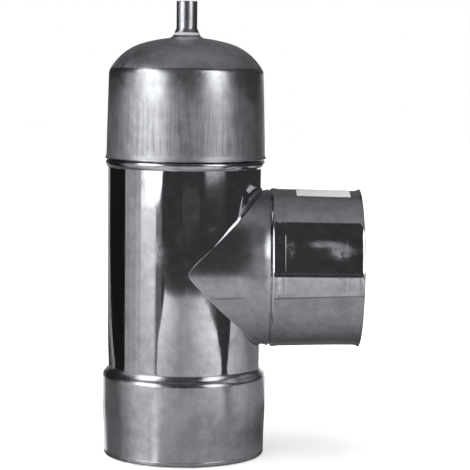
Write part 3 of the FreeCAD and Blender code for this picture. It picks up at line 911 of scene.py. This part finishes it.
# Turns are in degrees from the front (-Y) towards +X. A panel stands at a distance from the run,
# and its foot, if it has one, lies on the floor from a nearer distance. The foot starts at half the
# panel's turns, where the mirrored rays leave the run, so that its edges look upright there.
def makePanel(name, fromTurn, toTurn, distance, low, high, strength, footFrom=None, fade=None):
    turns = np.radians(np.linspace(fromTurn, toTurn, 61))
    rows = [circlePoints(distance, turns, low), circlePoints(distance, turns, high)]
    if footFrom is not None:
        rows.insert(0, circlePoints(footFrom, 0.5 * turns, low))
    makeCard(name, rows, strength, fade)


# Part of a ring on the floor. Its inner and outer edges have their own turns.
def makeRing(name, near, nearTurns, far, farTurns, height, strength, fade=None):
    rows = [circlePoints(near, np.radians(np.linspace(*nearTurns, 91)), height),
            circlePoints(far, np.radians(np.linspace(*farTurns, 91)), height)]
    makeCard(name, rows, strength, fade)


# A soft box with rounded corners: a superellipse over a range of turns and heights
def makeSoftbox(name, fromTurn, toTurn, distance, low, high, lean, strength):
    reach = np.linspace(0.001, 1, 5)[:, None]
    rim = np.linspace(0, 2 * np.pi, 49)[None, :]
    power = 2 / 5
    wide = np.sign(np.cos(rim)) * np.abs(np.cos(rim)) ** power
    tall = np.sign(np.sin(rim)) * np.abs(np.sin(rim)) ** power
    height = (low + high) / 2 + (high - low) / 2 * reach * tall
    middle = (fromTurn + toTurn) / 2 + lean * height
    turns = np.radians(middle + (toTurn - fromTurn) / 2 * reach * wide)
    makeCard(name, circlePoints(distance, turns, height), strength)


# A card that lies level, given by rows of two corners
def levelCard(name, rows, height, strength, fade=None):
    makeCard(name, [[(*corner, height) for corner in row] for row in rows], strength, fade)


# The photographed tee mirrors a dark room, a table with grey and white paper, and soft boxes whose
# dimmer rims are boxes of their own. Cards on the floor lie a hair apart: ground, paper, and the tee's
# painted shadow.
def makeRoom():
    ground = 0.0002
    paper = 0.0004
    tableShadow = 0.0006
    hair = 0.0001
    foot = 0.066
    top = 2.4
    makePanel("leftDarkPanel", -150, -98, 2.0, ground, top, 0.012, foot)
    makePanel("leftBackLow", -168, -150, 2.0, ground, 0.12, 0.42, 0.30)
    makePanel("leftBackHigh", -168, -150, 2.0, 0.12, top, 0.06)
    makePanel("leftBackEdge", -180, -168, 2.0, ground, top, 0.06, 0.30)
    makeRing("leftMat", 0.0632, (-76, -47), 0.44, (-138, -84), paper, 0.13)
    makePanel("leftGreyPanel", -98, -88, 2.0, ground, 0.6, 0.40, foot)
    makePanel("leftPalePanel", -88, -76, 2.0, ground, 0.6, 0.46, foot)
    makePanel("leftWhitePanel", -76, -67, 2.0, ground, 0.6, 0.57, foot)
    makePanel("leftHighPanel", -98, -67, 2.0, 0.6, top, 0.08)
    makePanel("leftTablePanel", -67, -42.5, 1.9, ground, 0.05, 0.66, foot, ("Y", -0.25, -0.9, 1.0))
    makePanel("leftEdgePanel", -42.5, -34, 1.9, ground, 0.05, 0.22, foot)
    makePanel("frontDarkPanel", -45, 63, 2.0, ground, top, 0.05, foot)
    makePanel("rightDarkPanel", 63, 150, 2.0, ground, top, 0.045, foot)
    makeSoftbox("leftSoftbox", -66, -27, 1.85, 0.06, 2.3, -10.0, 2.2)
    makeSoftbox("rightSoftbox", 31, 59, 1.95, 0.116, 2.2, 0.0, 1.9)
    makeSoftbox("rightSpot", 27, 60, 1.90, 0.1125, 0.16, 0.0, 0.72)
    makeSoftbox("rightSpark", 30, 50, 1.88, 0.1085, 0.1130, 0.0, 1.5)
    makeSoftbox("rightGlow", 29, 64, 1.92, 0.096, 0.112, 0.0, 0.10)
    makeSoftbox("farStand", -4, 21, 1.97, 0.012, 0.084, 0.0, 0.085)
    makePanel("backHood", 150, 192, 2.0, 0.36, top, 0.12)
    levelCard("frontCeiling", [[(-2.5, -2.5), (2.5, -2.5)], [(-2.5, -0.62), (2.5, -0.62)]], top, 0.05)
    levelCard("ceiling", [[(-2.5, -0.62), (2.5, -0.62)], [(-2.5, 2.5), (2.5, 2.5)]], top, 0.28,
              ("Y", -0.5, 2.2, 0.12))
    # The front paper glows less in the middle than towards both sides: a painted shadow across its middle
    levelCard("frontPaper", [
        [(-0.13, -0.15), (0.19, -0.13)],
        [(-0.30, -0.38), (0.44, -0.32)],
        [(-0.41, -0.54), (0.545, -0.50)],
        [(-0.52, -0.97), (0.565, -0.80)],
        [(0.06, -1.09), (0.50, -0.955)],
    ], paper, 0.46, ("X", 0.08, 0.50, 1.10))
    levelCard("rightPaper", [
        [(0.20, -0.10), (0.10, 0.20)],
        [(0.42, -0.215), (0.36, 0.45)],
        [(0.79, -0.272), (0.85, 1.00)],
    ], paper, 0.66, ("Y", -0.18, 0.16, 0.24))
    # A painted shadow of the tee on the table, seen only in reflections: a ring round the run, darker towards
    # the back, and a corner of it in front to the right
    makeRing("tableShadow", 0.0632, (-17, 215), 0.235, (-29.3, 215), tableShadow, 0.37, ("Y", -0.12, 0.12, 0.11))
    levelCard("tableShadowCorner", [[(0.06, -0.19), (0.20, -0.10)], [(0.06, -0.228), (0.23, -0.265)]], tableShadow, 0.36)
    makeRing("leftMatEdge", 0.0632, (-52, -43.5), 0.44, (-93, -78), paper + hair, 0.27)
    makeRing("leftGleam", 0.07, (-24, -19.5), 0.39, (-41.4, -35.0), tableShadow + hair, 1.2)
    makeRing("leftGap", 0.07, (-27, -24.6), 0.39, (-46.5, -42.0), tableShadow + hair, 0.42)
    levelCard("rightGleam", [[(0.175, -0.25), (0.20, -0.17)], [(0.20, -0.42), (0.36, -0.27)]], tableShadow, 0.85)
    levelCard("branchShade", [[(0.066, -0.075), (0.15, -0.075)], [(0.066, 0.08), (0.15, 0.08)]],
              tableShadow + hair, 0.32, ("Y", -0.075, 0.03, 0.10))
    # A painted contact shadow: a very dark ring round the foot of the run, seen only in reflections
    makeRing("footShadowRing", 0.0631, (0, 360), 0.0655, (0, 360), tableShadow + 3 * hair, 0.02)


def makeLamp(name, place, aim, size, power):
    data = bpy.data.lights.new(name, "AREA")
    data.shape = "SQUARE"
    data.size = size
    data.energy = power
    lamp = placeObject(name, data)
    lamp.rotation_euler = (Vector(place) - Vector(aim)).to_track_quat("Z", "Y").to_euler()
    lamp.location = place
    lamp.visible_glossy = False
    lamp.visible_transmission = False


makeFloor()
makeWorld()
makeRoom()
makeLamp("overheadLamp", (-0.3, -0.3, 2.2), (0.0, 0.0, 0.1), 1.8, 26)
makeLamp("frontLamp", (-0.9, -1.7, 1.5), (0.0, 0.0, 0.1), 1.2, 7)
print("Studio done")

# Camera at the photograph's place, in front and a little above, turned and tilted as fitted
view = dict(place=(0.0068, -1.3364, 0.2962), pan=-1.375, down=5.344, roll=0.634, focal=1722.4, frame=470)


def makeCamera(size):
    data = bpy.data.cameras.new("photoCamera")
    data.sensor_width = 36.0
    data.sensor_fit = "HORIZONTAL"
    data.lens = size["focal"] * data.sensor_width / size["frame"]
    data.clip_start = 0.05
    camera = placeObject("photoCamera", data)
    turned = (Matrix.Rotation(math.radians(size["pan"]), 4, "Z")
              @ Matrix.Rotation(math.radians(90 - size["down"]), 4, "X")
              @ Matrix.Rotation(math.radians(size["roll"]), 4, "Z"))
    camera.matrix_world = Matrix.Translation(size["place"]) @ turned
    bpy.context.scene.camera = camera


makeCamera(view)
bpy.context.scene.view_settings.view_transform = "Standard"
